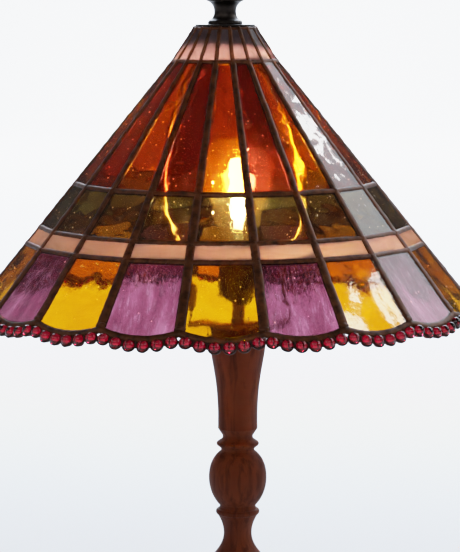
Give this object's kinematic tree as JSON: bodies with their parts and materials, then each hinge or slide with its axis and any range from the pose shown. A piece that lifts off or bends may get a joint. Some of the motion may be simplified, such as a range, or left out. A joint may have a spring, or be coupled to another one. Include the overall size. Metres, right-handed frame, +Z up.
{
  "type": "table lamp",
  "caption": "Table lamp with a faceted leaded-glass cone shade, scalloped beaded rim, harp and bulb, on a turned wooden column with a round weighted foot.",
  "frame": {"origin": "on the table, plumb below the shade's axis; the column's axis is 10 mm to the +X side of it", "axes": "+Z up the column, -Y through the middle of one amber facet, +Y towards the switch knob and the cord inlet"},
  "size_m": [0.4096, 0.4096, 0.598],
  "materials": {
    "wood": "satin reddish-brown varnish",
    "felt": "pressed green felt",
    "iron": "as cast",
    "steel": "zinc plated",
    "brass": "satin, lightly tarnished",
    "bronze": "dark bronze patina",
    "came": "soldered copper foil under a dark brown patina",
    "black_plastic": "moulded",
    "card_liner": "pressed insulating board",
    "bulb_metal": "plain",
    "filament": "glowing tungsten",
    "glass_crown": "opalescent pink",
    "glass_amber": "seedy cathedral glass",
    "glass_red": "seedy cathedral glass",
    "glass_green": "streaky cathedral glass",
    "glass_cream": "opalescent",
    "glass_yellow": "water glass",
    "glass_purple": "streaky wispy glass",
    "glass_ruby": "moulded beads",
    "glass_bulb": "frosted"
  },
  "bodies": {
    "root": {"felt_pad": "felt", "base_foot": "wood", "base_weight": "iron", "weight_screws": "steel", "base_washer": "steel", "base_lock_nut": "steel", "cord_inlet_bush": "black_plastic", "column_spindle": "wood", "column_top_washer": "brass", "lamp_pipe": "steel", "saddle_lock_nut": "brass", "neck_spacer": "brass", "harp_saddle": "brass", "harp_wire": "brass", "harp_stud": "brass", "socket_cap": "brass", "socket_shell": "brass", "insulating_sleeve": "card_liner", "screw_shell": "brass", "socket_core": "black_plastic", "centre_contact": "brass", "terminal_screws": "brass"},
    "shade": {"crown_glass": "glass_crown", "amber_long_glass": "glass_amber", "red_long_glass": "glass_red", "green_square_glass": "glass_green", "cream_band_glass": "glass_cream", "yellow_scallop_glass": "glass_yellow", "purple_scallop_glass": "glass_purple", "seam_ribs": "came", "crown_ribs": "came", "crown_row": "came", "shoulder_row": "came", "green_high_row": "came", "cream_high_row": "came", "cream_low_row": "came", "scallop_rim": "came", "ruby_beads": "glass_ruby", "vase_cap": "bronze", "cap_bush": "brass"},
    "finial": {"finial": "bronze", "finial_insert": "brass"},
    "bulb": {"bulb_glass": "glass_bulb", "bulb_base_shell": "bulb_metal", "bulb_insulator": "black_plastic", "bulb_tip_contact": "bulb_metal", "bulb_stem": "glass_bulb", "bulb_lead_wires": "steel", "bulb_capsule": "glass_bulb", "bulb_filament": "filament"},
    "switch": {"switch_shaft": "brass", "switch_knob": "black_plastic"},
    "ferrule_left": {"ferrule_left": "brass"},
    "ferrule_right": {"ferrule_right": "brass"}
  },
  "joints": [
    {"name": "shade_turn", "type": "hinge", "parent": "root", "child": "shade", "pos_m": [0, 0, 0.5486], "axis": [0, 0, 1], "continuous": true},
    {"name": "finial_unscrew", "type": "hinge", "parent": "root", "child": "finial", "pos_m": [0, 0, 0.56], "axis": [0, 0, 1], "continuous": true},
    {"name": "bulb_unscrew", "type": "hinge", "parent": "root", "child": "bulb", "pos_m": [0.01, 0, 0.365], "axis": [0, 0, 1], "continuous": true},
    {"name": "switch_turn", "type": "hinge", "parent": "root", "child": "switch", "pos_m": [0.01, 0.02, 0.343], "axis": [0, 1, 0], "continuous": true},
    {"name": "ferrule_left_slide", "type": "slide", "parent": "root", "child": "ferrule_left", "axis": [0, 0, 1], "range_m": [0, 0.012]},
    {"name": "ferrule_right_slide", "type": "slide", "parent": "root", "child": "ferrule_right", "axis": [0, 0, 1], "range_m": [0, 0.012]}
  ]
}
